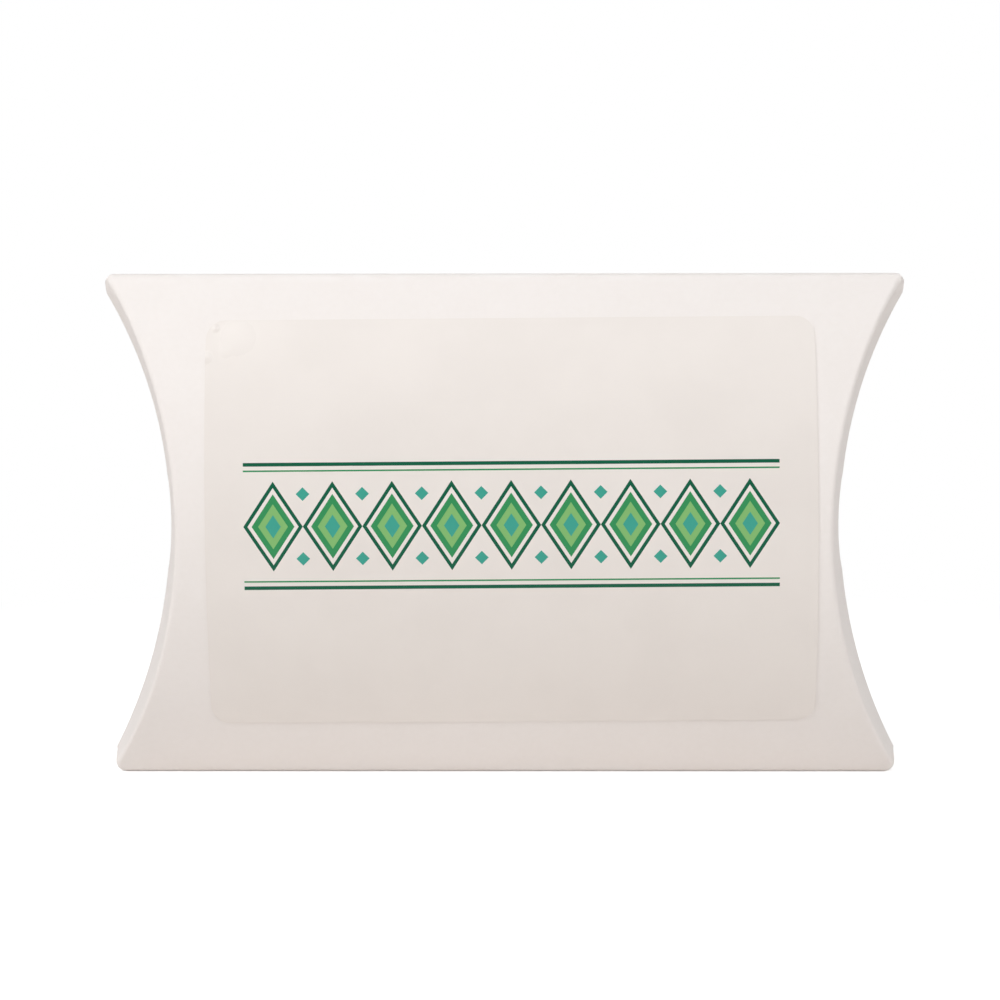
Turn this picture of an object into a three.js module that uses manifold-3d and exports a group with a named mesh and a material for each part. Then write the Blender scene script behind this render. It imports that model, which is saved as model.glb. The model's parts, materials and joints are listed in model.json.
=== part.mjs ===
// Pillow box of white card, standing on its bottom crease with its front panel towards -Y.
// One scored sheet is folded into a bowed tube and glued along the bottom. At each end a flap
// of the front panel closes over a shorter flap of the back panel, on curved scores, and springs
// open a little, so that the ends lean out towards the back.
// Millimetres, +Z up, origin in the middle of the flat under the bottom crease.
import * as THREE from "three";
import { mergeVertices } from "three/addons/utils/BufferGeometryUtils.js";
import Module from "manifold-3d";

// Overall sizes
const boxLength = 101; // tip to tip along the long creases
const boxHeight = 63.6; // bottom crease to top crease
const boxDepth = 20; // front to back across the waist, outside the card

// Card
const cardThickness = 0.46;
const creaseWidth = 1.2; // flat that folding crushes along each long crease
const creaseWall = 0.75; // card and inner bead under that flat
const foldReach = 2; // height of card at each long crease that belongs to the fold
const foldSlit = 0.1; // between a fold and the panels that it joins

// Ends
const cornerHeight = 2; // straight cut at each tip, from the crease to where the score starts
const cornerRadius = 1.1; // rounding of each tip
const scoreSlit = 0.3; // between a panel and its flap, which meet in a mitre
const flapClearance = 0.3; // between an inner flap and the outer flap that covers it
const endLeanTip = 2; // how far the closed ends lean out from front to back, at the tips
const endLeanWaist = 3; // and at mid-height
const flapTipHeight = 3; // from the crease to the trimmed tips of the flaps
const flapTipWidth = 2;
const outerFlapReach = 15; // score to free edge at mid-height
const innerFlapReach = 9.6;
const thumbNotchRadius = 7;
const thumbNotchDepth = 4; // ends short of the free edge of the inner flap

// Glued seam
const tabWidth = 9; // height of the tab above its fold
const tabSetback = 6.5; // from each tip to the tab's end at the fold
const tabTaper = 4; // how much further each end is set back at the tab's free edge
const glueThickness = 0.1;
const glueMargin = 2; // tab left dry around the glue
const bondGap = 0.05; // on each side of the glue, and under the label

// Label
const labelWidth = 76.2;
const labelHeight = 50.9; // as seen from the front
const labelRadius = 2.4;
const labelThickness = 0.12;
const labelShiftX = 0.95; // stuck on by hand, a little off the middle
const labelShiftZ = 0.8;
const labelTurn = 0.4; // degrees, its top leaning to the left

// Facets
const heightSteps = 18; // up the whole height of the box
const cornerSteps = 5; // round a small corner
const notchSegments = 40;

// The panels are arcs about lines along X. The scores lie in planes at 45 degrees, so each flap
// is the same arc seen from the end, about a line along Y outside the box.
const midHeight = boxHeight / 2;
const bow = (boxDepth - creaseWidth) / 2;
const panelRadius = (midHeight ** 2 + bow ** 2) / (2 * bow);
const panelCentre = panelRadius - boxDepth / 2;
const scoreRadius = panelRadius;
const flapPitch = cardThickness + flapClearance;

// All the arcs are made of facets between the same levels, so that layers stay parallel.
const levelStep = boxHeight / heightSteps;
function arcHeight(radius, z) {
  const low = Math.min(Math.floor(z / levelStep), heightSteps - 1);
  const share = z / levelStep - low;
  const onArc = (level) => Math.sqrt(radius ** 2 - (level * levelStep - midHeight) ** 2);
  return (1 - share) * onArc(low) + share * onArc(low + 1);
}
const bulge = (z, depth = 0) => arcHeight(panelRadius - depth, z) - panelCentre;

// The back panel is longer, so that its flap lies along the inside of the leaning outer flap.
// Side -1 is the front, +1 the back.
function endLean(z) {
  return endLeanTip + ((endLeanWaist - endLeanTip) * bulge(z)) / (boxDepth / 2);
}
const backOverhang = (z) => endLean(z) - flapPitch;
const scoreCentre =
  boxLength / 2 - backOverhang(cornerHeight) + arcHeight(scoreRadius, cornerHeight);
function scoreX(z, side, depth = 0) {
  const onFront = scoreCentre - arcHeight(scoreRadius + depth, z);
  return side > 0 ? onFront + backOverhang(z) : onFront;
}

const wasm = await Module();
wasm.setup();

// Closed three.js geometry as a solid that can be cut and joined
function solidOf(geometry) {
  geometry.deleteAttribute("normal");
  geometry.deleteAttribute("uv");
  const merged = mergeVertices(geometry, 1e-4);
  const vertProperties = new Float32Array(merged.attributes.position.array);
  const triVerts = new Uint32Array(merged.index.array);
  return new wasm.Manifold(new wasm.Mesh({ numProp: 3, vertProperties, triVerts }));
}

function geometryOf(solid) {
  const { vertProperties, triVerts } = solid.getMesh();
  const geometry = new THREE.BufferGeometry();
  geometry.setAttribute("position", new THREE.BufferAttribute(vertProperties, 3));
  geometry.setIndex(new THREE.BufferAttribute(triVerts, 1));
  geometry.computeVertexNormals();
  return geometry;
}

const axisX = new THREE.Vector3(1, 0, 0);
const axisY = new THREE.Vector3(0, 1, 0);
const axisZ = new THREE.Vector3(0, 0, 1);

// Shape drawn in two of the box's axes, extruded both ways along the third
function extruded(shape, length, across, up, along) {
  const geometry = new THREE.ExtrudeGeometry(shape, { depth: length, bevelEnabled: false });
  geometry.translate(0, 0, -length / 2);
  geometry.applyMatrix4(new THREE.Matrix4().makeBasis(across, up, along));
  return solidOf(geometry);
}
const alongX = (shape) => extruded(shape, 2 * boxLength, axisY, axisZ, axisX);
const alongY = (shape) => extruded(shape, 2 * boxDepth, axisX, axisZ, axisY.clone().negate());

// Two heights and the levels between them
function levels(low, high) {
  const all = Array.from({ length: heightSteps + 1 }, (_, i) => i * levelStep);
  const apart = levelStep / 20;
  return [low, ...all.filter((z) => z > low + apart && z < high - apart), high];
}
const panelLevels = levels(foldReach + foldSlit, boxHeight - foldReach - foldSlit);

// Shape between two curves over the height
function region(left, right, heights) {
  const up = heights.map((z) => new THREE.Vector2(right(z), z));
  const down = heights.map((z) => new THREE.Vector2(left(z), z));
  return new THREE.Shape([...up, ...down.reverse()]);
}

// How far a corner of the given radius draws a straight edge in, at a height from its end
function cornerDraw(radius, height) {
  return height < radius ? radius - Math.sqrt(radius ** 2 - (radius - height) ** 2) : 0;
}
const cornerLevels = (radius, end, towards) =>
  Array.from({ length: cornerSteps }, (_, i) => {
    const turn = (i / cornerSteps) * (Math.PI / 2);
    return end + towards * radius * (1 - Math.cos(turn));
  });

// A panel seen from the front: concave ends on the scores, straight cuts and round tips
function panelHalfLength(z, side) {
  const fromCrease = Math.min(z, boxHeight - z);
  const onScore = Math.min(Math.max(z, cornerHeight), boxHeight - cornerHeight);
  return scoreX(onScore, side) - cornerDraw(cornerRadius, fromCrease);
}
function panelOutline(side, heights) {
  return region((z) => -panelHalfLength(z, side), (z) => panelHalfLength(z, side), heights);
}

// Bowed sheet between two depths under the outside of the panels
function bowedSheet(side, outer, inner, heights) {
  const surfaces = [(z) => side * bulge(z, outer), (z) => side * bulge(z, inner)];
  return alongX(side > 0 ? region(surfaces[1], surfaces[0], heights) : region(...surfaces, heights));
}

// All that lies past a score, on the flap's side of the plane that halves the fold at each height:
// end -1 is the left, +1 the right
function pastScore(end, side, distance) {
  const toFlap = new THREE.Vector3(end, -side, 0).normalize();
  const along = toFlap.clone().cross(axisZ);
  const mitre = (z) => (scoreX(z, side) - bulge(z)) / Math.SQRT2 + distance;
  const low = flapTipHeight - scoreSlit;
  const shape = region(mitre, () => boxLength, levels(low, boxHeight - low));
  return extruded(shape, 2 * boxLength, toFlap, axisZ, along);
}

function panel(side) {
  const sheet = bowedSheet(side, 0, cardThickness, panelLevels);
  const heights = [0, ...levels(cornerHeight, boxHeight - cornerHeight), boxHeight];
  return sheet
    .intersect(alongY(panelOutline(side, heights)))
    .subtract(pastScore(-1, side, -scoreSlit / 2))
    .subtract(pastScore(1, side, -scoreSlit / 2));
}

// Crushed fold along a long crease, with the bead that scoring raises on its inside
function fold(crease, inward) {
  const legEnd = crease + inward * foldReach;
  const outside = bulge(legEnd);
  const inside = bulge(legEnd, cardThickness);
  const section = new THREE.Shape([
    new THREE.Vector2(-outside, legEnd),
    new THREE.Vector2(-creaseWidth / 2, crease),
    new THREE.Vector2(creaseWidth / 2, crease),
    new THREE.Vector2(outside, legEnd),
    new THREE.Vector2(inside, legEnd),
    new THREE.Vector2(0, crease + inward * creaseWall),
    new THREE.Vector2(-inside, legEnd),
  ]);
  const straight = crease + inward * cornerRadius;
  const heights = [...cornerLevels(cornerRadius, crease, inward), straight, legEnd + inward];
  return alongX(section).intersect(alongY(panelOutline(1, heights.sort((a, b) => a - b))));
}

// Tab of the front panel, folded up inside the back panel, with its ends tapered
const tabBase = foldReach + foldSlit;
const tabTop = tabBase + tabWidth;
const tabDepth = cardThickness + glueThickness + 2 * bondGap;
function tabHalfLength(z) {
  return boxLength / 2 - tabSetback - (tabTaper * (z - tabBase)) / tabWidth;
}
function tabSheet(outer, inner, margin) {
  const heights = levels(tabBase + margin, tabTop - margin);
  const half = (z) => tabHalfLength(z) - margin;
  const sheet = bowedSheet(1, outer, inner, heights);
  return sheet.intersect(alongY(region((z) => -half(z), half, heights)));
}

// End flap hinged on a panel, square to it. Its free edge bows from tip to tip, and is measured
// from the mid-plane of the box towards that panel.
function flap(end, side, reach, notched) {
  const heights = levels(flapTipHeight, boxHeight - flapTipHeight);
  const tip = bulge(flapTipHeight) - flapTipWidth;
  const freeBow = tip - boxDepth / 2 + reach;
  const halfSpan = midHeight - flapTipHeight;
  const free = (z) => side * (tip - freeBow * (1 - ((z - midHeight) / halfSpan) ** 2));
  const beyond = () => side * boxDepth;
  const outline = side > 0 ? region(free, beyond, heights) : region(beyond, free, heights);
  const face = (z) => end * scoreX(z, side);
  const back = (z) => end * scoreX(z, side, cardThickness);
  const sheet = alongY(end > 0 ? region(back, face, heights) : region(face, back, heights));
  const blank = sheet
    .intersect(alongX(outline))
    .intersect(pastScore(end, side, scoreSlit / 2));
  if (!notched) return blank;
  const notch = new THREE.CylinderGeometry(
    thumbNotchRadius,
    thumbNotchRadius,
    2 * boxLength,
    notchSegments,
  );
  notch.rotateZ(Math.PI / 2);
  notch.translate(0, free(midHeight) + side * (thumbNotchDepth - thumbNotchRadius), midHeight);
  return blank.subtract(solidOf(notch));
}

// Leans a flap about its score: the front panel's flaps outwards, the back panel's inwards
function leaned(geometry, end, side) {
  const points = geometry.attributes.position;
  for (let i = 0; i < points.count; i += 1) {
    const z = points.getZ(i);
    const fromScore = bulge(z) - side * points.getY(i);
    const lean = (endLean(z) * fromScore) / (2 * bulge(z));
    points.setX(i, points.getX(i) - end * side * lean);
  }
  geometry.computeVertexNormals();
  return geometry;
}

// Printed film stuck on the front panel
function labelOutline() {
  const x = labelWidth / 2 - labelRadius;
  const z = labelHeight / 2 - labelRadius;
  const quarter = Math.PI / 2;
  const corners = [[x, -z], [x, z], [-x, z], [-x, -z]];
  const outline = new THREE.Path();
  corners.forEach(([cx, cz], i) => {
    outline.absarc(cx, cz, labelRadius, (i - 1) * quarter, i * quarter);
  });
  const middle = new THREE.Vector2();
  const place = new THREE.Vector2(labelShiftX, midHeight + labelShiftZ);
  const turn = THREE.MathUtils.degToRad(labelTurn);
  const points = outline.getPoints(cornerSteps);
  return new THREE.Shape(points.map((point) => point.rotateAround(middle, turn).add(place)));
}
function labelFilm() {
  const sheet = bowedSheet(-1, -bondGap - labelThickness, -bondGap, panelLevels);
  return sheet.intersect(alongY(labelOutline()));
}

const whiteCard = { color: 0xf4f1ec, roughness: 0.75, metalness: 0 };
const clearFilm = { color: 0xeae7de, roughness: 0.3, metalness: 0 };
const dryGlue = { color: 0xe9e2cf, roughness: 0.6, metalness: 0 };

const pillowBox = new THREE.Group();
pillowBox.name = "pillow_box";
function add(name, geometry, finish) {
  const mesh = new THREE.Mesh(geometry, new THREE.MeshStandardMaterial(finish));
  mesh.name = name;
  pillowBox.add(mesh);
}

add("front_panel", geometryOf(panel(-1)), whiteCard);
add("back_panel", geometryOf(panel(1)), whiteCard);
add("top_fold", geometryOf(fold(boxHeight, -1)), whiteCard);
add("bottom_fold", geometryOf(fold(0, 1)), whiteCard);
const tab = tabSheet(tabDepth, tabDepth + cardThickness, 0);
add("glue_tab", geometryOf(tab), whiteCard);
const glue = tabSheet(cardThickness + bondGap, tabDepth - bondGap, glueMargin);
add("glue_strip", geometryOf(glue), dryGlue);
for (const [name, end] of [["left", -1], ["right", 1]]) {
  const inner = geometryOf(flap(end, 1, innerFlapReach, false));
  add(`${name}_inner_flap`, leaned(inner, end, 1), whiteCard);
  const outer = geometryOf(flap(end, -1, outerFlapReach, true));
  add(`${name}_outer_flap`, leaned(outer, end, -1), whiteCard);
}
add("label", geometryOf(labelFilm()), clearFilm);

export default pillowBox;
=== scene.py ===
"""Looks of a pillow box: one scored sheet of white card, its glued seam and a film label.

The sheet is drawn as one row of points across the blank and pulled row by row over the two
long creases, as the flat blank is bent round. Its four end flaps are then parted from it.
Metres, +Z up, the front panel towards -Y, the box standing on its bottom crease.
"""

import json
import logging
import math
from collections.abc import Callable, Iterator, Sequence
from contextlib import contextmanager
from dataclasses import dataclass
from enum import Enum

import bpy
from bpy.types import Material, MeshPolygon, Node, NodeSocket, Object, World
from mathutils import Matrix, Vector
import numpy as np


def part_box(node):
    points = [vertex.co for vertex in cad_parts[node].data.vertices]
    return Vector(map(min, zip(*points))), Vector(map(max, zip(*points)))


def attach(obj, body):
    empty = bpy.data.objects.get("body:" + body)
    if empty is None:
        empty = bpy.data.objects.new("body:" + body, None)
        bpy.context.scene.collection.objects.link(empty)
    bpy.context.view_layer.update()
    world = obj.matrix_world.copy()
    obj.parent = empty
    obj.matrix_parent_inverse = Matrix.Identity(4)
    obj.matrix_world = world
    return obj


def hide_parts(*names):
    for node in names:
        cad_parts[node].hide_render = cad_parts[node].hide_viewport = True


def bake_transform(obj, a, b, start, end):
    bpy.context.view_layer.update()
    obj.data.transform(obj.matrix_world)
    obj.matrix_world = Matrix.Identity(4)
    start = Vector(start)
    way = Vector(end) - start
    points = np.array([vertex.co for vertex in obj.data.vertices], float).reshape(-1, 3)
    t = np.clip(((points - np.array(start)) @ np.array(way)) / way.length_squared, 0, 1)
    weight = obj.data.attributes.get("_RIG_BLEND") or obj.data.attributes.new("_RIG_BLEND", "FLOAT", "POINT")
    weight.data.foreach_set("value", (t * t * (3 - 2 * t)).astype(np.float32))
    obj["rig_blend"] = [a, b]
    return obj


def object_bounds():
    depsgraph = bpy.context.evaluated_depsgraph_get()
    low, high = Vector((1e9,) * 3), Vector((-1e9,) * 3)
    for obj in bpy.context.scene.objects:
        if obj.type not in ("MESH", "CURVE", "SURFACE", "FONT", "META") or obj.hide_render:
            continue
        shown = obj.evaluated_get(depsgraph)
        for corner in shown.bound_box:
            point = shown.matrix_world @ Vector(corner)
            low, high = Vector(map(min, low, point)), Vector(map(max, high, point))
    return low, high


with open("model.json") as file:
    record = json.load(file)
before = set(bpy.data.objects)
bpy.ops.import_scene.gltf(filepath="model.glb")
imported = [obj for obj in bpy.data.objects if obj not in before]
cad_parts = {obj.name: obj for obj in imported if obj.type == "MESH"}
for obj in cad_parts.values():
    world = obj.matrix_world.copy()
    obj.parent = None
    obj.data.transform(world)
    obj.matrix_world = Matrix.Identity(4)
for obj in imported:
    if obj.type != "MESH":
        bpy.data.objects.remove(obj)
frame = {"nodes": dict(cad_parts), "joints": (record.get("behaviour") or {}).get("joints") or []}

LOG = logging.getLogger("pillow_box")
CAD_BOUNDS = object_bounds()
MM = 0.001
TINY = 1e-9
NEAR = 1e-6
FIRST_COLOUR, SECOND_COLOUR, MIXED_COLOUR = 6, 7, 2
Triple = tuple[float, float, float]
Colour = Triple
Range = tuple[float, float]


class End(Enum):
    """Which end of the box a flap closes; the value is the sign of its X."""

    LEFT = -1
    RIGHT = 1


class Layer(Enum):
    """Which flap of an end; the value is the sign of Y of the panel that carries it."""

    INNER = 1
    OUTER = -1


def smooth_share(value: float, low: float, high: float) -> float:
    """Share that eases from 0 at low to 1 at high."""
    share = min(max((value - low) / (high - low), 0.0), 1.0)
    return share * share * (3 - 2 * share)


def take_up(piece: Object) -> None:
    """Makes one piece the only selected and the active one."""
    bpy.ops.object.select_all(action="DESELECT")
    piece.select_set(True)
    bpy.context.view_layer.objects.active = piece


@contextmanager
def editing(piece: Object, kind: str = "VERT") -> Iterator[None]:
    """Opens a piece in edit mode.

    Args:
        piece: The piece to edit.
        kind: What the selection is made of, VERT or FACE.

    Yields:
        Nothing; edit mode ends with the block.
    """
    take_up(piece)
    bpy.ops.object.mode_set(mode="EDIT")
    bpy.ops.mesh.select_mode(type=kind)
    try:
        yield
    finally:
        bpy.ops.object.mode_set(mode="OBJECT")


def pick(piece: Object, parts: str, wanted: Callable[[object], bool]) -> None:
    """Selects the vertices or faces of a piece that a test picks.

    Args:
        piece: The piece, in object mode.
        parts: Which list of the mesh is tested, vertices or polygons.
        wanted: Says whether an item of it is picked.
    """
    for name in ("vertices", "edges", "polygons"):
        items = getattr(piece.data, name)
        items.foreach_set("select", [name == parts and wanted(item) for item in items])


def members(piece: Object, group: str) -> set[int]:
    """Numbers of the vertices in one vertex group of a piece."""
    index = piece.vertex_groups[group].index
    return {v.index for v in piece.data.vertices if index in [g.group for g in v.groups]}


def apply_modifier(piece: Object, kind: str, **settings: object) -> None:
    """Adds one modifier to a piece and applies it.

    Args:
        piece: The piece.
        kind: Blender's name for the modifier type.
        **settings: Its settings.
    """
    take_up(piece)
    modifier = piece.modifiers.new(kind.lower(), kind)
    for name, value in settings.items():
        setattr(modifier, name, value)
    bpy.ops.object.modifier_apply(modifier=modifier.name)


def thicken_card(piece: Object, card: float) -> None:
    """Thickens a sheet of card inwards, with the cut edge's finish on its rim."""
    apply_modifier(
        piece,
        "SOLIDIFY",
        thickness=card,
        offset=-1.0,
        use_even_offset=True,
        use_quality_normals=True,
        material_offset_rim=1,
    )


def smooth_faces(piece: Object, angle: float = 40.0) -> None:
    """Shades a piece smooth, apart from edges sharper than an angle in degrees."""
    take_up(piece)
    bpy.ops.object.shade_smooth_by_angle(angle=math.radians(angle))


class NodeSheet:
    """Nodes of a material or world, with short calls for those that the finishes share."""

    def __init__(self, owner: Material | World) -> None:
        """Opens the owner's nodes and adds the object coordinates."""
        owner.use_nodes = True
        self.owner = owner
        self.tree = owner.node_tree
        self.shader = self.tree.nodes.get("Principled BSDF")
        self.place = self.add("ShaderNodeTexCoord").outputs["Object"]

    def add(self, kind: str, **settings: object) -> Node:
        """Adds a node and sets its properties.

        Args:
            kind: Blender's name for the node.
            **settings: Properties of the node.

        Returns:
            The node.
        """
        node = self.tree.nodes.new(kind)
        for name, value in settings.items():
            setattr(node, name, value)
        return node

    def feed(self, socket: NodeSocket, value: object) -> None:
        """Links a socket to another, or sets it to a plain value."""
        if isinstance(value, NodeSocket):
            self.tree.links.new(value, socket)
        else:
            socket.default_value = value

    def join(self, kind: str, *values: object, **settings: object) -> NodeSocket:
        """Adds a node and feeds its inputs in order.

        Args:
            kind: Blender's name for the node.
            *values: Sockets or plain values for its first inputs.
            **settings: Properties of the node.

        Returns:
            The node's first output.
        """
        node = self.add(kind, **settings)
        for socket, value in zip(node.inputs, values):
            self.feed(socket, value)
        return node.outputs[0]

    def math(self, operation: str, *values: object) -> NodeSocket:
        """Result of one Math node on sockets or numbers."""
        return self.join("ShaderNodeMath", *values, operation=operation)

    def apart(self, first: object, second: object) -> NodeSocket:
        """Distance between two values."""
        return self.math("ABSOLUTE", self.math("SUBTRACT", first, second))

    def ease(self, value: object, low: float, high: float) -> NodeSocket:
        """Share from 0 at low to 1 at high, eased at both; low may be above high."""
        kind = "ShaderNodeMapRange"
        return self.join(kind, value, low, high, interpolation_type="SMOOTHSTEP")

    def around(self, noise: NodeSocket, middle: float, spread: float) -> NodeSocket:
        """Value that noise spreads round a middle."""
        return self.math("MULTIPLY_ADD", noise, spread, middle - spread / 2)

    def mapped(self, **moves: Sequence[float]) -> NodeSocket:
        """Object coordinates seen from a frame with a Location, Rotation or Scale."""
        node = self.add("ShaderNodeMapping", vector_type="TEXTURE")
        self.feed(node.inputs["Vector"], self.place)
        for name, value in moves.items():
            node.inputs[name].default_value = value
        return node.outputs["Vector"]

    def noise(
        self,
        size: float,
        detail: float,
        stretch: Sequence[float] = (1, 1, 1),
        turn: Sequence[float] = (0, 0, 0),
    ) -> NodeSocket:
        """Noise on the object's own coordinates.

        Args:
            size: Size of its largest grains, in metres.
            detail: Octaves of finer grain.
            stretch: How much longer the grains are along each axis.
            turn: Turn of the grain about each axis, in radians.

        Returns:
            The noise value, about 0.5 on average.
        """
        grain = self.mapped(Rotation=turn, Scale=[size * s for s in stretch])
        node = self.add("ShaderNodeTexNoise")
        node.inputs["Scale"].default_value = 1.0
        node.inputs["Detail"].default_value = detail
        self.feed(node.inputs["Vector"], grain)
        return node.outputs["Fac"]

    def mix(self, share: object, first: object, second: object) -> NodeSocket:
        """Colour between two colours or colour sockets."""
        node = self.add("ShaderNodeMix", data_type="RGBA", clamp_factor=True)
        self.feed(node.inputs["Factor"], share)
        for socket, value in ((FIRST_COLOUR, first), (SECOND_COLOUR, second)):
            is_colour = isinstance(value, tuple)
            self.feed(node.inputs[socket], (*value, 1.0) if is_colour else value)
        return node.outputs[MIXED_COLOUR]

    def split(self, vector: NodeSocket) -> tuple[NodeSocket, ...]:
        """X, Y and Z of a vector."""
        node = self.add("ShaderNodeSeparateXYZ")
        self.feed(node.inputs[0], vector)
        return tuple(node.outputs)

    def coat(self, colour: object, roughness: object, specular: float) -> None:
        """Feeds the shader its colour, roughness and specular level."""
        names = ("Base Color", "Roughness", "Specular IOR Level")
        for name, value in zip(names, (colour, roughness, specular)):
            self.feed(self.shader.inputs[name], value)

    def bump(self, height: object, distance: float, strength: float) -> None:
        """Adds bump of a height socket to the shader.

        Args:
            height: Height as a share of the distance.
            distance: Height of a share of 1, in metres.
            strength: How far the normal follows.
        """
        node = self.add("ShaderNodeBump")
        node.inputs["Strength"].default_value = strength
        node.inputs["Distance"].default_value = distance
        self.feed(node.inputs["Height"], height)
        self.feed(self.shader.inputs["Normal"], node.outputs["Normal"])


@dataclass(frozen=True)
class CardFinish:
    """Uncoated matt white folding card, with fibres, faint clouds and rubbed creases."""

    name: str = "white_card_face"
    colour: Colour = (0.895, 0.852, 0.828)
    cloud: Colour = (0.875, 0.830, 0.802)
    rubbed: Colour = (0.915, 0.880, 0.860)
    roughness: float = 0.78
    rough_spread: float = 0.14
    specular: float = 0.32
    cloud_size: float = 9 * MM
    cloud_weight: float = 0.55
    speck_size: float = 0.7 * MM
    speck_weight: float = 0.5
    tone_range: Range = (0.25, 0.80)
    wear_width: float = 1.4 * MM
    wear_size: float = 1.6 * MM
    wear_range: Range = (0.42, 0.68)
    fibre_size: float = 0.16 * MM
    fibre_height: float = 0.012 * MM

    def material(self, height: float) -> Material:
        """Makes the material.

        Args:
            height: Height of the box, whose long creases are rubbed.

        Returns:
            The material.
        """
        sheet = NodeSheet(bpy.data.materials.new(self.name))
        clouds = sheet.noise(self.cloud_size, 4)
        specks = sheet.noise(self.speck_size, 4)
        share = sheet.math("MULTIPLY", clouds, self.cloud_weight)
        share = sheet.math("MULTIPLY_ADD", specks, self.speck_weight, share)
        colour = sheet.mix(sheet.ease(share, *self.tone_range), self.colour, self.cloud)
        from_middle = sheet.apart(sheet.split(sheet.place)[2], height / 2)
        near_crease = sheet.ease(from_middle, height / 2 - self.wear_width, height / 2)
        broken = sheet.ease(sheet.noise(self.wear_size, 5, (3, 1, 1)), *self.wear_range)
        colour = sheet.mix(sheet.math("MULTIPLY", near_crease, broken), colour, self.rubbed)
        rough = sheet.around(specks, self.roughness, self.rough_spread)
        sheet.coat(colour, rough, self.specular)
        lengthwise = sheet.noise(self.fibre_size, 3, (7, 1, 2))
        slanting = sheet.noise(self.fibre_size, 3, (5, 1, 1), (0, 0.9, 0.2))
        fibres = sheet.math("ADD", lengthwise, slanting)
        sheet.bump(fibres, self.fibre_height, strength=0.5)
        return sheet.owner


@dataclass(frozen=True)
class StreakFinish:
    """Plain finish of two tones in streaks, for the card's cut edges and the dried glue."""

    name: str
    first: Colour
    second: Colour
    streak: float
    detail: float
    stretch: Triple
    tone_range: Range
    roughness: float
    specular: float
    relief: float

    def material(self) -> Material:
        """Makes the material.

        Returns:
            The material.
        """
        sheet = NodeSheet(bpy.data.materials.new(self.name))
        streaks = sheet.noise(self.streak, self.detail, self.stretch)
        colour = sheet.mix(sheet.ease(streaks, *self.tone_range), self.first, self.second)
        sheet.coat(colour, self.roughness, self.specular)
        sheet.bump(streaks, self.relief, strength=0.6)
        return sheet.owner


CUT_EDGE = StreakFinish(
    name="white_card_cut_edge",
    first=(0.80, 0.775, 0.735),
    second=(0.86, 0.835, 0.80),
    streak=0.09 * MM,
    detail=3,
    stretch=(6, 1, 6),
    tone_range=(0.3, 0.7),
    roughness=0.92,
    specular=0.2,
    relief=0.03 * MM,
)
DRY_GLUE = StreakFinish(
    name="dry_glue_film",
    first=(0.80, 0.765, 0.66),
    second=(0.70, 0.65, 0.50),
    streak=1.2 * MM,
    detail=4,
    stretch=(9, 1, 1),
    tone_range=(0.35, 0.7),
    roughness=0.38,
    specular=0.5,
    relief=0.05 * MM,
)


@dataclass(frozen=True)
class LozengeBand:
    """Printed ornament of the label: a chain of nested lozenges between thin rules."""

    count: int = 9
    pitch: float = 7.4 * MM
    half_height: float = 5.6 * MM
    rule_offset: float = 7.7 * MM
    rule_width: float = 0.45 * MM
    hair_offset: float = 6.9 * MM
    hair_width: float = 0.2 * MM
    bead_share: float = 0.72
    bead_reach: float = 0.85 * MM
    dark: Colour = (0.000, 0.105, 0.050)
    middle: Colour = (0.035, 0.285, 0.100)
    light: Colour = (0.230, 0.500, 0.170)
    teal: Colour = (0.050, 0.370, 0.290)

    def print_on(
        self, sheet: NodeSheet, ground: NodeSocket, across: NodeSocket, up: NodeSocket
    ) -> NodeSocket:
        """Prints the band over a ground colour.

        Args:
            sheet: The material's nodes.
            ground: Colour of the bare film.
            across: Distance from the label's middle along its width, in metres.
            up: Distance from the label's middle along its height, in metres.

        Returns:
            The printed colour.
        """
        half_pitch = self.pitch / 2
        half_band = self.count * half_pitch
        from_middle, rise = sheet.math("ABSOLUTE", across), sheet.math("ABSOLUTE", up)
        inside = sheet.math("LESS_THAN", from_middle, half_band)
        between = sheet.math("LESS_THAN", from_middle, half_band - half_pitch)
        step = sheet.math("FLOORED_MODULO", sheet.math("ADD", across, half_band), self.pitch)
        side = sheet.apart(step, half_pitch)
        reach = sheet.math("DIVIDE", side, half_pitch)
        reach = sheet.math("ADD", reach, sheet.math("DIVIDE", rise, self.half_height))
        rings = (
            (1.0, self.dark),
            (0.86, ground),
            (0.72, self.middle),
            (0.50, self.light),
            (0.26, self.teal),
        )
        marks = [(inside, reach, share, ink) for share, ink in rings]
        bead = sheet.math("SUBTRACT", half_pitch, side)
        bead = sheet.math("ADD", bead, sheet.apart(rise, self.half_height * self.bead_share))
        marks.append((between, bead, self.bead_reach, self.teal))
        for offset, width, ink in (
            (self.rule_offset, self.rule_width, self.dark),
            (self.hair_offset, self.hair_width, self.middle),
        ):
            marks.append((inside, sheet.apart(rise, offset), width / 2, ink))
        colour = ground
        for area, distance, limit, ink in marks:
            mask = sheet.math("MULTIPLY", area, sheet.math("LESS_THAN", distance, limit))
            colour = sheet.mix(mask, colour, ink)
        return colour


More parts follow.
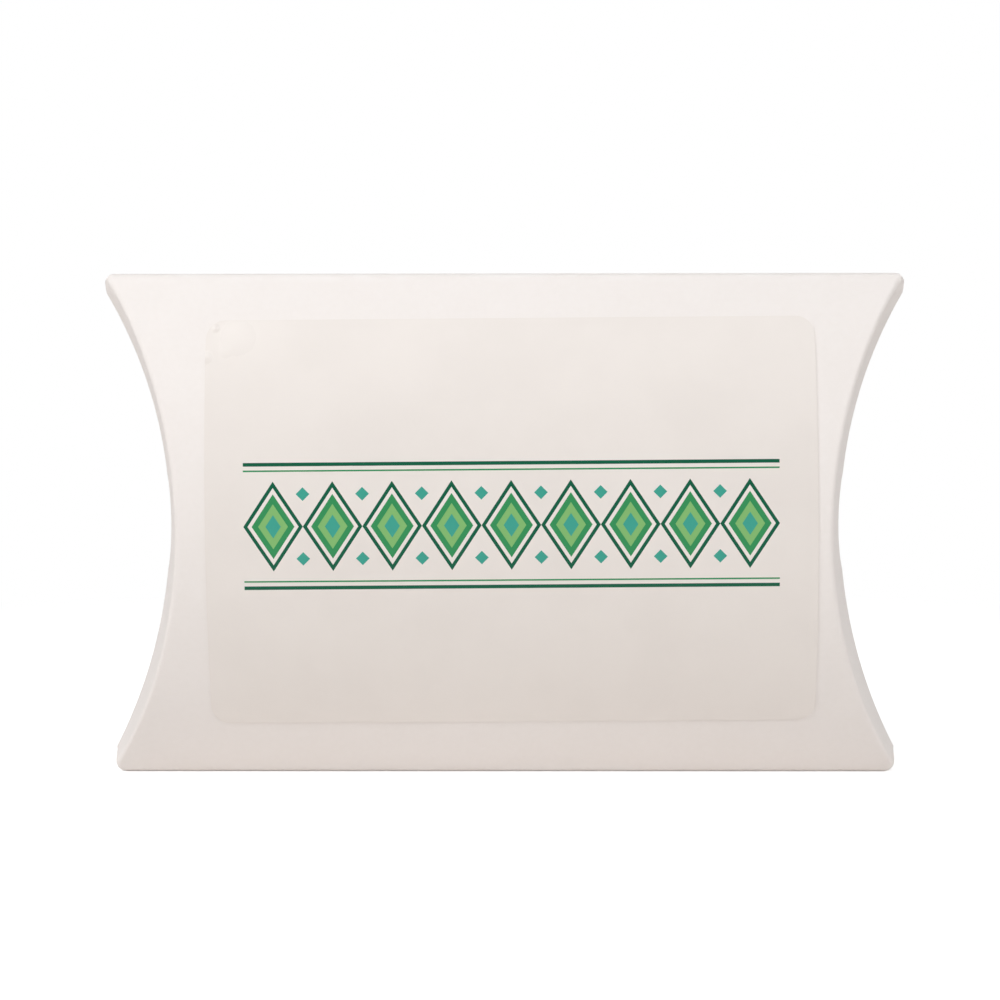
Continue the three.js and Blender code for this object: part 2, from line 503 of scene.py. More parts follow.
@dataclass(frozen=True)
class FilmFinish:
    """Thin clear satin film over the card, printed, with a few trapped bubbles."""

    name: str = "label_film_print"
    film: Colour = (0.850, 0.800, 0.762)
    tint: Colour = (0.832, 0.782, 0.744)
    roughness: float = 0.42
    rough_spread: float = 0.16
    least_roughness: float = 0.14
    specular: float = 0.28
    cloud_size: float = 11 * MM
    cloud_height: float = 0.35
    speck_size: float = 0.8 * MM
    speck_height: float = 0.04
    tone_range: Range = (0.35, 0.65)
    relief: float = 0.09 * MM
    taut_gain: float = 0.88
    taut_most: float = 0.22
    bubbles: tuple[tuple[float, float, float, float], ...] = (
        (-36.9 * MM, 24.5 * MM, 0.7 * MM, 1.8),
        (-34.0 * MM, 23.3 * MM, 3.0 * MM, 1.7),
        (-37.9 * MM, 20.9 * MM, 1.0 * MM, 1.6),
        (-35.6 * MM, 21.6 * MM, 1.1 * MM, 0.6),
    )

    def material(self, label: "Label", band: LozengeBand) -> Material:
        """Makes the material.

        Args:
            label: The label, for its place and turn.
            band: Its print.

        Returns:
            The material.
        """
        sheet = NodeSheet(bpy.data.materials.new(self.name))
        place, turn = (label.middle_x, 0, label.middle_z), (0, -label.turn, 0)
        across, _, up = sheet.split(sheet.mapped(Location=place, Rotation=turn))
        clouds = sheet.noise(self.cloud_size, 4)
        specks = sheet.noise(self.speck_size, 3)
        ground = sheet.mix(sheet.ease(clouds, *self.tone_range), self.film, self.tint)
        rough = sheet.around(specks, self.roughness, self.rough_spread)
        height = sheet.math("MULTIPLY", clouds, self.cloud_height)
        height = sheet.math("MULTIPLY_ADD", specks, self.speck_height, height)
        for x, z, radius, rise in self.bubbles:
            off_x, off_z = sheet.math("SUBTRACT", across, x), sheet.math("SUBTRACT", up, z)
            square = sheet.math("MULTIPLY", off_x, off_x)
            square = sheet.math("MULTIPLY_ADD", off_z, off_z, square)
            dome = sheet.ease(sheet.math("SQRT", square), radius, 0.0)
            height = sheet.math("MULTIPLY_ADD", dome, rise, height)
            taut = sheet.math("MULTIPLY", dome, self.taut_gain)
            rough = sheet.math("SUBTRACT", rough, sheet.math("MINIMUM", taut, self.taut_most))
        rough = sheet.math("MAXIMUM", rough, self.least_roughness)
        sheet.coat(band.print_on(sheet, ground, across, up), rough, self.specular)
        sheet.bump(height, self.relief, strength=0.7)
        return sheet.owner


@dataclass(frozen=True)
class FloorFinish:
    """White tabletop with a faint sheen, which keeps the box's shadow and is bare white far off."""

    name: str = "white_table"
    colour: Colour = (0.87, 0.83, 0.80)
    seen: Colour = (1.0, 1.0, 1.0)
    glow: float = 0.38
    sheen: float = 0.05
    sheen_roughness: float = 0.12
    shadow_reach: Range = (0.08, 0.20)

    def material(self) -> Material:
        """Makes the material.

        Returns:
            The material.
        """
        sheet = NodeSheet(bpy.data.materials.new(self.name))
        rays = sheet.add("ShaderNodeLightPath").outputs
        seen = sheet.math("MAXIMUM", rays["Is Camera Ray"], rays["Is Glossy Ray"])
        seen = sheet.math("MAXIMUM", seen, rays["Is Transmission Ray"])
        matt = sheet.join("ShaderNodeBsdfDiffuse", sheet.mix(seen, self.colour, self.seen))
        gloss = sheet.add("ShaderNodeBsdfGlossy")
        gloss.inputs["Roughness"].default_value = self.sheen_roughness
        table = sheet.join("ShaderNodeMixShader", self.sheen, matt, gloss.outputs[0])
        glow = sheet.add("ShaderNodeEmission")
        sheet.feed(glow.inputs["Strength"], sheet.math("MULTIPLY", seen, self.glow))
        near = sheet.join("ShaderNodeAddShader", table, glow.outputs[0])
        length = sheet.add("ShaderNodeVectorMath", operation="LENGTH")
        sheet.feed(length.inputs[0], sheet.place)
        far = sheet.ease(length.outputs["Value"], *self.shadow_reach)
        white = sheet.join("ShaderNodeEmission")
        both = sheet.join("ShaderNodeMixShader", sheet.math("MULTIPLY", far, seen), near, white)
        sheet.feed(sheet.tree.nodes["Material Output"].inputs["Surface"], both)
        sheet.tree.nodes.remove(sheet.shader)
        return sheet.owner


@dataclass(frozen=True)
class BoxForm:
    """Shape of the box that its panels, flaps and label share."""

    length: float
    height: float
    depth: float
    card: float = 0.46 * MM
    crease_width: float = 1.2 * MM
    corner_height: float = 2.0 * MM
    foot_height: float = 2.6 * MM
    corner_radius: float = 1.1 * MM
    foot_radius: float = 1.6 * MM
    flap_clearance: float = 0.3 * MM
    end_lean_tip: float = 2.0 * MM
    end_lean_foot: float = 1.5 * MM
    end_lean_waist: float = 3.0 * MM
    flap_tip_height: float = 3.0 * MM
    flap_tip_width: float = 2.0 * MM
    outer_tip_height: float = 0.8 * MM
    outer_reach: float = 15.0 * MM
    outer_spare: float = 0.69 * MM
    inner_reach: float = 9.6 * MM
    notch_radius: float = 7.0 * MM
    notch_depth: float = 4.0 * MM
    score_round: float = 0.5 * MM

    @property
    def middle(self) -> float:
        """Mid-height."""
        return self.height / 2

    @property
    def radius(self) -> float:
        """Radius of the panels' bow, and of the curved scores seen from the front."""
        bow = (self.depth - self.crease_width) / 2
        return (self.middle**2 + bow**2) / (2 * bow)

    def from_crease(self, z: float) -> float:
        """Height between a level and the nearer long crease."""
        return min(z, self.height - z)

    def bulge(self, z: float) -> float:
        """Distance of a panel's outside from the mid-plane at a level."""
        arc = math.sqrt(self.radius**2 - (z - self.middle) ** 2)
        return arc - self.radius + self.depth / 2

    def end_lean(self, z: float) -> float:
        """How far the closed ends lean out from front to back at a level."""
        share = self.bulge(z) / (self.depth / 2)
        tip = self.end_lean_foot if z < self.middle else self.end_lean_tip
        return tip + (self.end_lean_waist - tip) * share

    def lean_slope(self, z: float) -> float:
        """Slope of the closed ends at a level, outwards per length towards the back."""
        return self.end_lean(z) / (2 * self.bulge(z))

    def overhang(self, z: float) -> float:
        """How far the back panel's scores lie outside those of the front panel."""
        return self.end_lean(z) - self.card - self.flap_clearance

    def score_x(self, z: float, layer: Layer) -> float:
        """Distance of a score's outside corner from the box's middle at a level.

        Args:
            z: The level.
            layer: The flap on the score.

        Returns:
            The distance along X.
        """
        fall = math.sqrt(self.radius**2 - (z - self.middle) ** 2)
        tip_fall = math.sqrt(self.radius**2 - (self.corner_height - self.middle) ** 2)
        top_corner = self.height - self.corner_height
        front = self.length / 2 - self.overhang(top_corner) + tip_fall - fall
        return front + self.overhang(z) if layer is Layer.INNER else front

    def half_length(self, z: float, layer: Layer) -> float:
        """Distance of a panel's end from the box's middle at a level.

        Args:
            z: The level.
            layer: The flap that the end carries.

        Returns:
            The distance, with the blunt and rounded tips.
        """
        rise = self.from_crease(z)
        level = min(max(z, self.foot_height), self.height - self.corner_height)
        half = self.score_x(level, Layer.INNER)
        if layer is Layer.OUTER:
            flat = self.crease_width / 2
            level = min(max(z, flat), self.height - flat)
            share = smooth_share(rise, 0.0, 1.5 * flat)
            half += (self.score_x(level, Layer.OUTER) - half) * share
        rounding = self.foot_radius if z < self.middle else self.corner_radius
        short = max(rounding - rise, 0.0)
        return half - rounding + math.sqrt(rounding**2 - short**2)

    def flap_tip(self, layer: Layer) -> float:
        """Height above the bottom crease at which a flap's trimmed tip ends."""
        return self.outer_tip_height if layer is Layer.OUTER else self.flap_tip_height

    def score_start(self, layer: Layer) -> float:
        """Height above a crease from which a panel's end turns over into its flap."""
        return self.crease_width / 4 if layer is Layer.OUTER else self.corner_height

    def flap_length(self, z: float, layer: Layer) -> float:
        """Length of a flap from its score to its free edge at a level.

        Args:
            z: The level, between the flap's trimmed tips.
            layer: Inner or outer flap.

        Returns:
            The length along Y.
        """
        bulge = self.bulge(z)
        if layer is Layer.OUTER:
            whole = bulge * self.outer_reach / (self.depth / 2)
            return min(whole, 2 * bulge - self.outer_spare)
        tip = self.bulge(self.flap_tip_height) - self.flap_tip_width
        free_bow = tip - (self.depth / 2 - self.inner_reach)
        span = self.middle - self.flap_tip_height
        return bulge - tip + free_bow * (1 - ((z - self.middle) / span) ** 2)

    def crease_round(self) -> tuple[float, float]:
        """Radius of the long creases, and the angle at which they run into the panels."""
        centre = self.radius - self.depth / 2
        spare = self.radius**2 - centre**2 - self.middle**2
        round_radius = spare / (2 * (self.radius - self.middle))
        return round_radius, math.acos(centre / (self.radius - round_radius))


@dataclass(frozen=True)
class Station:
    """One row of the card sheet, square to the box's length."""

    y: float
    z: float
    half: float
    roll: float
    reach: float


@dataclass
class CardSheet:
    """The scored blank, bent round: a glued leg, the front, the top crease and the back."""

    form: BoxForm
    flap_columns: int = 10
    round_columns: int = 6
    panel_columns: int = 8
    panel_rows: int = 48
    crease_rows: int = 5
    tip_rows: int = 3
    flap_grading: float = 1.5
    apron: float = 0.3 * MM
    lap_edge: float = 1.0 * MM
    lap_gap: float = 0.06 * MM
    leg_top: float = 2.0 * MM
    leg_round: float = 0.5 * MM
    leg_short: float = 6.5 * MM
    leg_angles: tuple[float, ...] = (15.0, 40.0, 65.0)

    def build(self) -> Object:
        """Draws the first row and pulls the sheet from it.

        Returns:
            The sheet without thickness, its flaps still on it, facing outwards.
        """
        stations, foot, ridge = self.stations()
        sheet = self.draw_row(stations[0])
        with editing(sheet):
            for number, (before, after) in enumerate(zip(stations, stations[1:]), 1):
                self.pull_row(sheet, before, after)
                if number == foot:
                    self.mark_row(sheet, "leg", False)
                if number == ridge:
                    self.mark_row(sheet, "back", True)
            bpy.ops.mesh.reveal(select=False)
        self.trim_flaps(sheet)
        self.face_outwards(sheet)
        self.lean_ends(sheet)
        return sheet

    def stations(self) -> tuple[list[Station], int, int]:
        """Lists the rows of the sheet, from the leg behind the bottom crease round to the lap.

        Returns:
            The rows, and the numbers of the rows on the bottom and the top crease.
        """
        form = self.form
        crease, lean = form.crease_round()
        rows = [self.row(y, z, Layer.INNER, -1) for y, z in self.leg_points()]
        foot = len(rows)
        turns = [i / self.crease_rows for i in range(self.crease_rows + 1)]
        angles = [math.pi / 2 + (lean - math.pi / 2) * t for t in turns]
        curl = [(crease * math.cos(a), crease - crease * math.sin(a)) for a in angles]
        levels = self.levels(curl[-1][1])
        front = curl + [(form.bulge(z), z) for z in levels]
        front += [(y, form.height - z) for y, z in reversed(curl)]
        rows += [self.row(-y, z, Layer.OUTER) for y, z in front]
        ridge = len(rows) - 1
        back = [(y, form.height - z) for y, z in curl[1:]]
        back += [(form.bulge(z), z) for z in reversed(levels)]
        back += [(form.bulge(self.lap_edge), self.lap_edge)]
        rows += [self.row(y, z, Layer.INNER) for y, z in back if z >= self.lap_edge]
        return rows, foot, ridge

    def leg_points(self) -> list[tuple[float, float]]:
        """Outside of the short leg that runs up under the back panel's lower edge."""
        form = self.form
        slope = (form.bulge(self.leg_top) - form.bulge(self.lap_edge)) / (
            self.leg_top - self.lap_edge
        )
        inset = (form.card + self.lap_gap) * math.hypot(1, slope)
        steps = [self.leg_top, (self.leg_top + self.lap_edge) / 2, self.lap_edge]
        points = [(form.bulge(z) - inset, z) for z in steps]
        for degrees in self.leg_angles:
            angle = math.radians(degrees)
            high = self.leg_round - self.leg_round * math.sin(angle)
            points.append((self.leg_round * math.cos(angle), high))
        return points

    def levels(self, lowest: float) -> list[float]:
        """Levels of the panel rows, closer together at the tips.

        Args:
            lowest: Level at which the bottom crease runs into the panel.

        Returns:
            The levels, rising, without those of the creases.
        """
        form = self.form
        tip = form.flap_tip_height
        low = [(lowest + form.outer_tip_height) / 2]
        rise = form.corner_height - form.outer_tip_height
        steps = range(self.tip_rows + 1)
        low += [form.outer_tip_height + rise * i / self.tip_rows for i in steps]
        low += [(form.corner_height + tip) / 2]
        span = form.height - 2 * tip
        middle = [tip + span * i / self.panel_rows for i in range(self.panel_rows + 1)]
        return low + middle + [form.height - z for z in reversed(low)]

    def row(self, y: float, z: float, layer: Layer, way: int = 1) -> Station:
        """One station of the sheet.

        Args:
            y: Place of the card's outside.
            z: Its level.
            layer: The flaps that this part of the sheet carries.
            way: -1 on the leg, whose unused flap columns point as the front's do.

        Returns:
            The station.
        """
        form = self.form
        inward = -layer.value * way
        rise = form.from_crease(z)
        tip = form.flap_tip(layer)
        roll = smooth_share(rise, form.score_start(layer), tip)
        level = min(max(z, tip), form.height - tip)
        reach = form.flap_length(level, layer) - form.score_round
        half = form.half_length(z, layer)
        if way < 0:
            share = (z - self.leg_round) / (self.leg_top - self.leg_round)
            half -= self.leg_short * max(share, 0.0) ** 2
        return Station(y, z, half, inward * roll, inward * reach)

    def draw_row(self, station: Station) -> Object:
        """Draws the sheet's first row as a line of points and names its columns.

        Args:
            station: Place and size of the row.

        Returns:
            The line, with its vertex groups.
        """
        form = self.form
        angles = [math.pi / 2 * k / self.round_columns for k in range(self.round_columns + 1)]
        steps = range(1, self.flap_columns + 1)
        shares = [(j / self.flap_columns) ** self.flap_grading for j in steps]
        turn_in = station.half - form.score_round
        end = [(turn_in - self.apron, 0.0)]
        end += [(turn_in + form.score_round * math.sin(a), 0.0) for a in angles]
        end += [(station.half, station.reach * share) for share in shares]
        inner = form.half_length(form.middle, Layer.OUTER) - form.score_round - 2 * self.apron
        count = self.panel_columns
        panel = [inner * (2 * i / count - 1) for i in range(count + 1)]
        line = [(-x, y) for x, y in reversed(end)] + [(x, 0.0) for x in panel] + end
        points = [Vector((x, station.y + y, station.z)) for x, y in line]
        bpy.ops.mesh.primitive_plane_add(size=form.card)
        sheet = bpy.context.object
        sheet.name = "pillow_sleeve"
        with editing(sheet):
            bpy.ops.mesh.select_all(action="SELECT")
            bpy.ops.mesh.merge(type="CENTER")
            bpy.ops.transform.translate(value=points[0])
            for here, there in zip(points, points[1:]):
                bpy.ops.mesh.extrude_region_move(TRANSFORM_OT_translate={"value": there - here})
        self.name_columns(sheet, len(end), len(points))
        return sheet

    def name_columns(self, sheet: Object, end: int, count: int) -> None:
        """Puts the columns of the first row into vertex groups, which later rows inherit.

        Args:
            sheet: The line of points.
            end: Columns of each end.
            count: Columns in all.
        """
        groups = {
            "left_end": list(range(end)),
            "right_end": list(range(count - end, count)),
            "leg": list(range(count)),
            "back": [],
        }
        flap = list(range(self.flap_columns))
        groups["flaps"] = flap + [count - 1 - i for i in flap]
        for k in range(1, self.round_columns + 1):
            column = end - 2 - k
            both = [column, count - 1 - column]
            groups[f"round_{k}"] = both + (groups["flaps"] if k == self.round_columns else [])
        for name, columns in groups.items():
            sheet.vertex_groups.new(name=name).add(columns, 1.0, "REPLACE")

    def move_columns(self, sheet: Object, group: str, step: Triple) -> None:
        """Moves some columns of the newest row, which alone is in view."""
        self.take_columns(sheet, group)
        bpy.ops.transform.translate(value=step)

    def take_columns(self, sheet: Object, group: str) -> None:
        """Selects some columns of the newest row, which alone is in view."""
        bpy.ops.mesh.select_all(action="DESELECT")
        sheet.vertex_groups.active_index = sheet.vertex_groups[group].index
        bpy.ops.object.vertex_group_select()

    def mark_row(self, sheet: Object, group: str, inside: bool) -> None:
        """Puts the newest row, and with it all later ones, into a vertex group or out of it.

        Args:
            sheet: The sheet, in edit mode, with only that row in view.
            group: The vertex group.
            inside: Whether the row goes in or out.
        """
        bpy.ops.mesh.select_all(action="SELECT")
        sheet.vertex_groups.active_index = sheet.vertex_groups[group].index
        if inside:
            bpy.ops.object.vertex_group_assign()
        else:
            bpy.ops.object.vertex_group_remove_from()

    def pull_row(self, sheet: Object, before: Station, after: Station) -> None:
        """Extrudes the newest row to the next station and shapes its ends.

        Args:
            sheet: The sheet, in edit mode, with only that row in view.
            before: Station of that row.
            after: The next station.
        """
        bpy.ops.mesh.select_all(action="SELECT")
        step = (0.0, after.y - before.y, after.z - before.z)
        bpy.ops.mesh.extrude_region_move(TRANSFORM_OT_translate={"value": step})
        bpy.ops.mesh.hide(unselected=True)
        wider = after.half - before.half
        if abs(wider) > TINY:
            self.move_columns(sheet, "left_end", (-wider, 0.0, 0.0))
            self.move_columns(sheet, "right_end", (wider, 0.0, 0.0))
        rolled = after.roll - before.roll
        if abs(rolled) > TINY:
            for k in range(1, self.round_columns + 1):
                drop = 1 - math.cos(math.pi / 2 * k / self.round_columns)
                step = (0.0, rolled * self.form.score_round * drop, 0.0)
                self.move_columns(sheet, f"round_{k}", step)
        root = (0.0, after.y + after.roll * self.form.score_round, after.z)
        self.take_columns(sheet, "flaps")
        longer = (1.0, after.reach / before.reach, 1.0)
        bpy.ops.transform.resize(value=longer, center_override=root)

    def flap_test(self, sheet: Object) -> Callable[[MeshPolygon], Layer | None]:
        """Makes a test for which flap a face's row belongs to.

        Args:
            sheet: The sheet, in object mode.

        Returns:
            The test, which gives None on the leg and past the flaps' trimmed tips.
        """
        back, leg = members(sheet, "back"), members(sheet, "leg")

        def layer_of(face: MeshPolygon) -> Layer | None:
            """Layer of the flap in a face's row."""
            layer = Layer.INNER if back.issuperset(face.vertices) else Layer.OUTER
            between_tips = self.form.from_crease(face.center.z) > self.form.flap_tip(layer)
            return layer if between_tips and leg.isdisjoint(face.vertices) else None

        return layer_of

    def trim_flaps(self, sheet: Object) -> None:
        """Cuts the flap columns off past the flaps' trimmed tips."""
        flaps, layer_of = members(sheet, "flaps"), self.flap_test(sheet)
        pick(
            sheet,
            "polygons",
            lambda face: layer_of(face) is None and not flaps.isdisjoint(face.vertices),
        )
        with editing(sheet, "FACE"):
            bpy.ops.mesh.delete(type="FACE")

    def face_outwards(self, sheet: Object) -> None:
        """Turns all faces over if the front panel's face the inside."""
        spot = Vector((0, -self.form.depth / 2, self.form.middle))
        nearest = min(sheet.data.polygons, key=lambda face: (face.center - spot).length)
        if nearest.normal.y > 0:
            with editing(sheet, "FACE"):
                bpy.ops.mesh.select_all(action="SELECT")
                bpy.ops.mesh.flip_normals()

    def lean_ends(self, sheet: Object) -> None:
        """Lets the front flaps spring out a little and presses the back ones in behind them."""
        form = self.form
        back, leg = members(sheet, "back"), members(sheet, "leg")
        for end, group in ((End.LEFT, "left_end"), (End.RIGHT, "right_end")):
            for index in members(sheet, group) - leg:
                point = sheet.data.vertices[index].co
                layer = Layer.INNER if index in back else Layer.OUTER
                if form.from_crease(point.z) > form.score_start(layer):
                    from_score = max(form.bulge(point.z) - layer.value * point.y, 0.0)
                    lean = -layer.value * form.lean_slope(point.z) * from_score
                    widest = form.half_length(point.z, Layer.INNER)
                    if form.foot_height < point.z < form.height - form.corner_height:
                        widest = form.length / 2
                    point.x = end.value * min(abs(point.x) + lean, widest)

    def part_flap(self, sheet: Object, end: End, layer: Layer, name: str) -> Object:
        """Parts one flap, with its rounded score, from the sheet.

        Args:
            sheet: The sheet.
            end: End of the box.
            layer: Inner flap, on the back panel, or outer flap, on the front panel.
            name: Name of the flap's object.

        Returns:
            The flap.
        """
        columns = members(sheet, "left_end" if end is End.LEFT else "right_end")
        layer_of = self.flap_test(sheet)
        pick(
            sheet,
            "polygons",
            lambda face: layer_of(face) is layer and columns.issuperset(face.vertices),
        )
        with editing(sheet, "FACE"):
            bpy.ops.mesh.separate(type="SELECTED")
        flap = next(o for o in bpy.context.selected_objects if o is not sheet)
        flap.name = name
        flap.data.name = name
        return flap


@dataclass
class Sleeve:
    """The tube of card: both panels, the two long creases and the lap of the seam."""

    form: BoxForm
    nodes: tuple[str, ...] = ("front_panel", "back_panel", "top_fold", "bottom_fold")

    def build(self, sheet: Object) -> Object:
        """Gives what is left of the sheet its thickness.

        Args:
            sheet: The sheet without its flaps.

        Returns:
            The finished sleeve.
        """
        thicken_card(sheet, self.form.card)
        smooth_faces(sheet)
        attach(sheet, "sleeve")
        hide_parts(*self.nodes)
        return sheet


@dataclass
class EndFlap:
    """One end flap on its curved score."""

    form: BoxForm
    end: End
    layer: Layer
    cutter_sides: int = 96
    cutter_place: float = 0.42
    cutter_length: float = 0.25

    @property
    def body(self) -> str:
        """Name of the body that the flap goes with."""
        return f"{self.end.name}_{self.layer.name}".lower()

    def build(self, flap: Object, edge: Material) -> Object:
        """Gives a parted flap its thickness and notch, and hangs it on its score.

        Args:
            flap: The flap as parted from the sheet.
            edge: Finish of the cut edges.

        Returns:
            The finished flap.
        """
        thicken_card(flap, self.form.card)
        if self.layer is Layer.OUTER:
            self.cut_notch(flap, edge)
        smooth_faces(flap)
        self.hang(flap)
        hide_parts(f"{self.body}_flap")
        return flap

    def cut_notch(self, flap: Object, edge: Material) -> None:
        """Cuts the thumb notch into the middle of the free edge.

        Args:
            flap: The thick flap.
            edge: Finish of the cut.
        """
        form = self.form
        free_edge = form.depth / 2 - form.outer_reach
        centre = self.layer.value * (free_edge + form.notch_depth - form.notch_radius)
        bpy.ops.mesh.primitive_cylinder_add(
            vertices=self.cutter_sides,
            radius=form.notch_radius,
            depth=form.length * self.cutter_length,
            location=(self.end.value * form.length * self.cutter_place, centre, form.middle),
            rotation=(0, math.pi / 2, 0),
        )
        cutter = bpy.context.object
        cutter.data.materials.append(edge)
        apply_modifier(
            flap,
            "BOOLEAN",
            object=cutter,
            operation="DIFFERENCE",
            solver="EXACT",
            material_mode="TRANSFER",
        )
        bpy.data.objects.remove(cutter)

    def hang(self, flap: Object) -> None:
        """Lets the flap turn with its hinge while its curved score stays on the panel.

        Each point turns by a share of the hinge angle that grows with its angle round the
        hinge line, so that a flap opened square carries on the bow of its panel.

        Args:
            flap: The finished mesh.
        """
        joint = next(j for j in frame["joints"] if j["child"] == self.body)
        pos = Vector(joint["pos_m"])
        inward = Vector((-self.end.value, -self.layer.value, 0.0)).normalized()
        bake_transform(flap, "sleeve", self.body, pos, pos + inward * self.form.outer_reach)
        shares = [self.turn_share(v.co, abs(pos.x)) for v in flap.data.vertices]
        flap.data.attributes["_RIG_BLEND"].data.foreach_set("value", shares)

    def turn_share(self, point: Vector, hinge: float) -> float:
        """Share of the hinge angle by which a point of the flap turns.

        Args:
            point: The point at rest.
            hinge: Distance of the hinge line from the box's middle.

        Returns:
            0 on the score's panel side, 1 at mid-height.
        """
        form = self.form
        slope = -self.layer.value * form.lean_slope(point.z)
        corner = form.score_x(point.z, self.layer)
        past_hinge = max(corner - hinge, TINY)
        along = form.bulge(point.z) - self.layer.value * point.y
        from_score = max(along, form.score_round)
        across = past_hinge + slope * from_score
        inward = past_hinge + from_score
        opened = math.acos(past_hinge / math.hypot(across, inward))
        mid_slope = -self.layer.value * form.lean_slope(form.middle)
        share = (opened - math.atan2(across, inward)) / (math.pi / 2 - math.atan(mid_slope))
        if along < form.score_round:
            left = corner + slope * along - self.end.value * point.x
            rounded = math.atan2(form.score_round - left, form.score_round - along)
            share *= rounded / (math.pi / 2)
        return min(max(share, 0.0), 1.0)


@dataclass(frozen=True)
class Label:
    """Clear printed film on the front panel, stuck on by hand a little off the middle."""

    width: float = 76.2 * MM
    height: float = 50.9 * MM
    corner_radius: float = 2.4 * MM
    corner_steps: int = 10
    thickness: float = 0.08 * MM
    bond_gap: float = 0.015 * MM
    middle_x: float = 0.95 * MM
    middle_z: float = 32.6 * MM
    turn: float = math.radians(0.4)
    rows: int = 44

    def build(self, sleeve: Object) -> Object:
        """Cuts the label out and lays it on the front panel.

        Args:
            sleeve: The finished sleeve.

        Returns:
            The finished label.
        """
        bpy.ops.mesh.primitive_plane_add(size=1.0, rotation=(math.pi / 2, 0, 0))
        label = bpy.context.object
        label.name = "front_label"
        label.data.name = label.name
        bpy.ops.object.transform_apply()
        with editing(label):
            bpy.ops.mesh.select_all(action="SELECT")
            size = (self.width, 1.0, self.height)
            bpy.ops.transform.resize(value=size, center_override=(0, 0, 0))
            bpy.ops.mesh.bevel(
                affect="VERTICES",
                offset=self.corner_radius,
                offset_type="OFFSET",
                segments=self.corner_steps,
            )
            for row in range(1, self.rows):
                level = self.height * (row / self.rows - 0.5)
                bpy.ops.mesh.select_all(action="SELECT")
                bpy.ops.mesh.bisect(plane_co=(0, 0, level), plane_no=(0, 0, 1))
        self.lay_on(label, sleeve)
        smooth_faces(label)
        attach(label, "sleeve")
        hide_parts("label")
        return label

    def lay_on(self, label: Object, sleeve: Object) -> None:
        """Turns the flat label, presses it on the bowed panel and gives it its thickness.

        Args:
            label: The flat label, standing in the mid-plane.
            sleeve: What it sticks to.
        """
        front = sleeve.bound_box[0][1]
        label.location = (self.middle_x, front - self.height, self.middle_z)
        label.rotation_euler = (0, -self.turn, 0)
        take_up(label)
        bpy.ops.object.transform_apply()
        apply_modifier(
            label,
            "SHRINKWRAP",
            target=sleeve,
            wrap_method="PROJECT",
            use_project_y=True,
            use_positive_direction=True,
            offset=self.bond_gap,
        )
        apply_modifier(label, "SOLIDIFY", thickness=self.thickness, offset=1.0)


@dataclass(frozen=True)
class Lamp:
    """One soft area lamp, aimed at the middle of the box."""

    name: str
    place: Triple
    width: float
    height: float
    power: float

    def light(self, target: Vector) -> None:
        """Puts the lamp into the scene, aimed at a point."""
        bpy.ops.object.light_add(type="AREA", location=self.place)
        lamp = bpy.context.object
        lamp.name = self.name
        lamp.data.shape = "RECTANGLE"
        lamp.data.size = self.width
        lamp.data.size_y = self.height
        lamp.data.energy = self.power
        lamp.rotation_euler = (target - lamp.location).to_track_quat("-Z", "Y").to_euler()


@dataclass(frozen=True)
class Shot:
    """Camera of the photograph: almost square on, a little from the right and from above."""

    distance: float = 0.400
    yaw: float = math.radians(0.573)
    pitch: float = math.radians(5.0)
    roll: float = math.radians(-0.088)
    target: Triple = (-0.000562, 0.0, 0.034840)
    lens: float = 113.2
    sensor: float = 36.0
    nearest: float = 0.01

    def take(self) -> None:
        """Puts the camera into the scene and makes it the scene's own."""
        target = Vector(self.target)
        level, rise = math.cos(self.pitch), math.sin(self.pitch)
        back = Vector((math.sin(self.yaw) * level, -math.cos(self.yaw) * level, rise))
        bpy.ops.object.camera_add(location=target + back * self.distance)
        camera = bpy.context.object
        camera.name = "photo_camera"
        camera.data.lens = self.lens
        camera.data.sensor_width = self.sensor
        camera.data.sensor_fit = "HORIZONTAL"
        camera.data.clip_start = self.nearest
        camera.rotation_euler = (-back).to_track_quat("-Z", "Y").to_euler()
        camera.rotation_euler.rotate_axis("Z", self.roll)
        bpy.context.scene.camera = camera


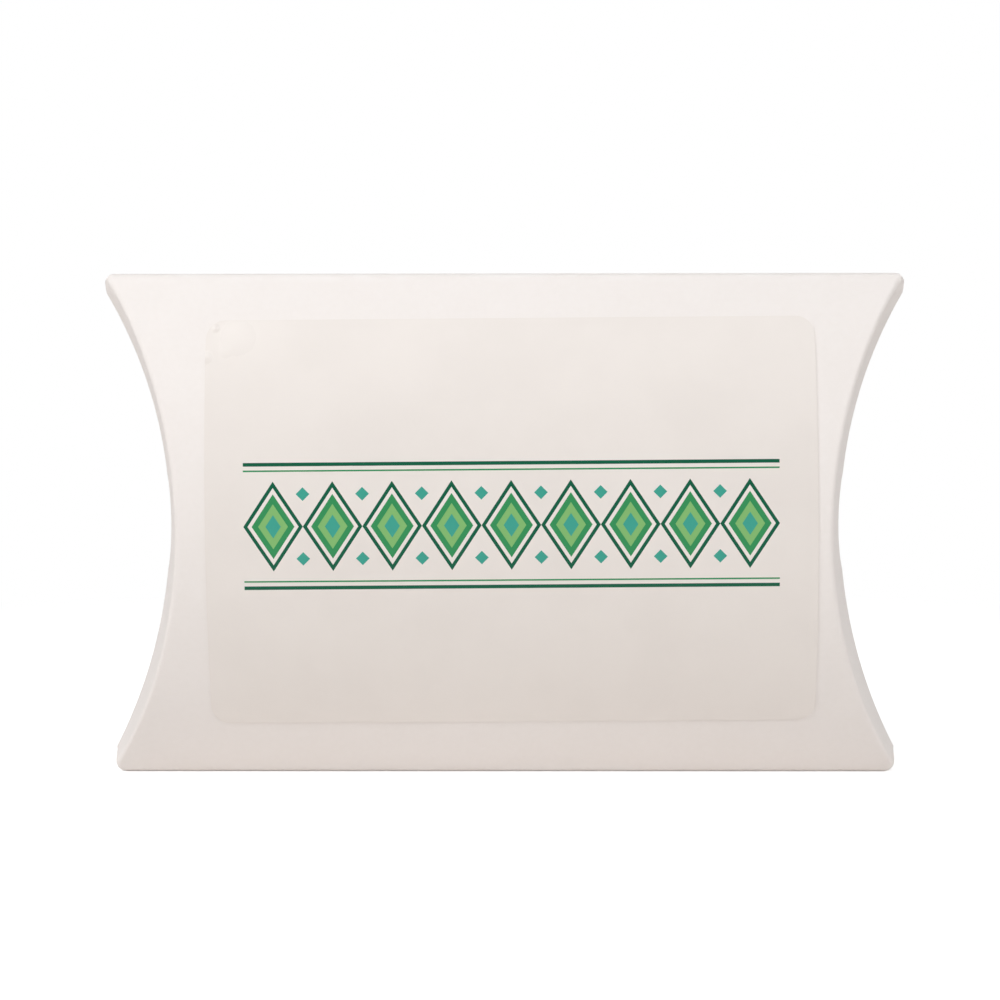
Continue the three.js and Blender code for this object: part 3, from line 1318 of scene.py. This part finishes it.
@dataclass(frozen=True)
class Studio:
    """White table that runs up into a backdrop, and soft lamps all round, brightest above left."""

    half_width: float = 1.6
    front: float = -1.2
    back: float = 1.4
    rise: float = 1.6
    cove: float = 0.5
    cove_steps: int = 16
    world: Colour = (0.107, 0.109, 0.111)
    backdrop: Colour = (1.0, 1.0, 1.0)
    lamp_target: Triple = (0.0, 0.0, 0.03)
    lamps: tuple[Lamp, ...] = (
        Lamp("top_softbox", (0.0, -0.55, 0.75), 0.8, 0.5, 3.25),
        Lamp("upper_left_lamp", (-0.22, -0.18, 0.38), 0.25, 0.25, 0.53),
        Lamp("left_softbox", (-0.90, -0.50, 0.35), 0.6, 0.6, 2.95),
        Lamp("right_softbox", (0.90, -0.50, 0.35), 0.6, 0.6, 3.05),
        Lamp("back_softbox", (0.10, 0.80, 0.35), 0.8, 0.3, 3.5),
    )

    def build(self) -> None:
        """Builds the table, the backdrop, the lamps and the world's light."""
        middle = (self.front + self.back) / 2
        bpy.ops.mesh.primitive_plane_add(size=2.0, location=(0, middle, 0))
        table = bpy.context.object
        table.name = "studio_table"
        table.scale = (self.half_width, (self.back - self.front) / 2, 1)
        bpy.ops.object.transform_apply()
        pick(table, "vertices", lambda v: v.co.y > self.back - NEAR)
        with editing(table):
            bpy.ops.mesh.extrude_region_move(TRANSFORM_OT_translate={"value": (0, 0, self.rise)})
        pick(table, "vertices", lambda v: v.co.y > self.back - NEAR and v.co.z < NEAR)
        with editing(table):
            bpy.ops.mesh.bevel(offset=self.cove, offset_type="OFFSET", segments=self.cove_steps)
        smooth_faces(table)
        table.data.materials.append(FloorFinish().material())
        scene = bpy.context.scene
        scene.world = self.surroundings()
        scene.view_settings.view_transform = "Standard"
        for lamp in self.lamps:
            lamp.light(Vector(self.lamp_target))

    def surroundings(self) -> World:
        """Makes the world: soft grey as a light, white where it is seen."""
        sheet = NodeSheet(bpy.data.worlds.new("studio_world"))
        rays = sheet.add("ShaderNodeLightPath").outputs
        seen = sheet.math("MAXIMUM", rays["Is Camera Ray"], rays["Is Transmission Ray"])
        colour = sheet.mix(seen, self.world, self.backdrop)
        sheet.feed(sheet.tree.nodes["Background"].inputs["Color"], colour)
        return sheet.owner


def main() -> None:
    """Builds the box, its label and the studio in order."""
    low, high = CAD_BOUNDS
    form = BoxForm(
        length=high.x - low.x,
        height=high.z - low.z,
        depth=2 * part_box("back_panel")[1].y,
    )
    face, edge = CardFinish().material(form.height), CUT_EDGE.material()
    blank = CardSheet(form)
    sheet = blank.build()
    sheet.data.materials.append(face)
    sheet.data.materials.append(edge)
    flaps = [EndFlap(form, end, layer) for end in End for layer in Layer]
    pieces = [blank.part_flap(sheet, f.end, f.layer, f"{f.body}_end_flap") for f in flaps]
    for flap, piece in zip(flaps, pieces):
        flap.build(piece, edge)
    sleeve = Sleeve(form).build(sheet)
    film = Label()
    label = film.build(sleeve)
    label.data.materials.append(FilmFinish().material(film, LozengeBand()))
    for piece in (*pieces, sleeve, label):
        LOG.info("%s: %d faces", piece.name, len(piece.data.polygons))
    for name, finish in (("glue_tab", face), ("glue_strip", DRY_GLUE.material())):
        mesh = frame["nodes"][name].data
        mesh.materials.clear()
        mesh.materials.append(finish)
    Studio().build()
    Shot().take()


if __name__ == "__main__":
    logging.basicConfig(level=logging.INFO, format="%(name)s: %(message)s")
    main()
